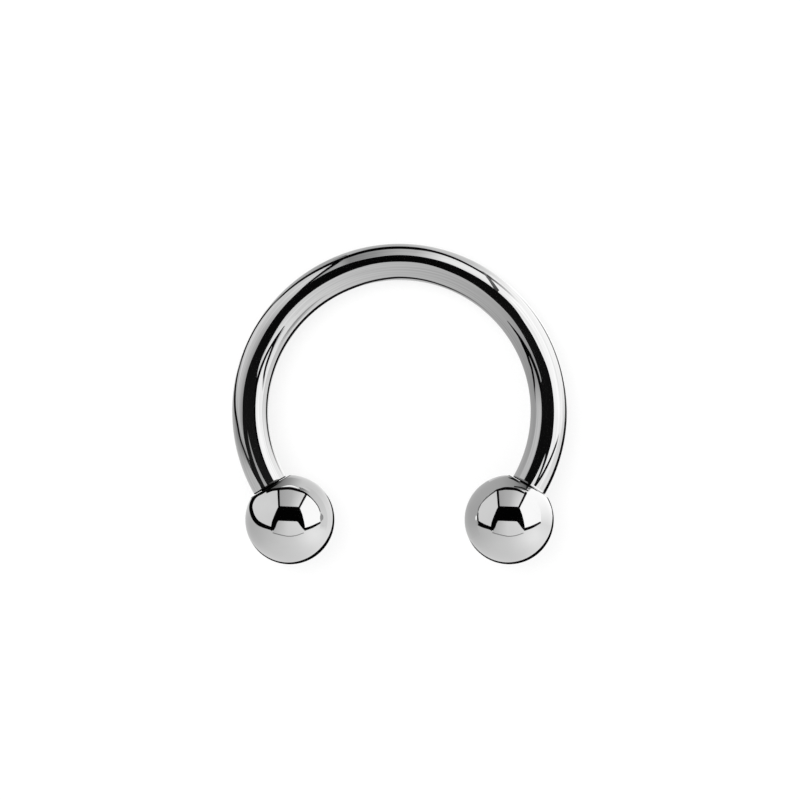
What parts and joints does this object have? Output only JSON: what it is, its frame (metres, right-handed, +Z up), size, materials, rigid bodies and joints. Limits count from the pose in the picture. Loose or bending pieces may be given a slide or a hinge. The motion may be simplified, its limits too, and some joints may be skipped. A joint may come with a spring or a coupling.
{
  "type": "horseshoe barbell",
  "caption": "Body jewellery: a polished steel bar bent to a horseshoe, with a ball that screws on each threaded end.",
  "frame": {"origin": "middle of the part's box, on the surface that it lies on", "axes": "+X from the left ball to the right ball, +Y from the balls to the crown of the bend, +Z up"},
  "size_m": [0.015, 0.0144, 0.004],
  "materials": {
    "bar_steel": "drawn 316L surgical steel wire, mirror polished",
    "ball_steel": "turned 316L surgical steel ball, mirror polished"
  },
  "bodies": {
    "bar": {"horseshoe_bar": "bar_steel"},
    "left_ball": {"left_ball": "ball_steel"},
    "right_ball": {"right_ball": "ball_steel"}
  },
  "joints": [
    {"name": "left_ball_unscrew", "type": "slide", "parent": "bar", "child": "left_ball", "axis": [0.5, -0.8615, 0.0888], "range_m": [0, 0.003]},
    {"name": "right_ball_unscrew", "type": "slide", "parent": "bar", "child": "right_ball", "axis": [-0.5, -0.8615, 0.0888], "range_m": [0, 0.003]}
  ]
}
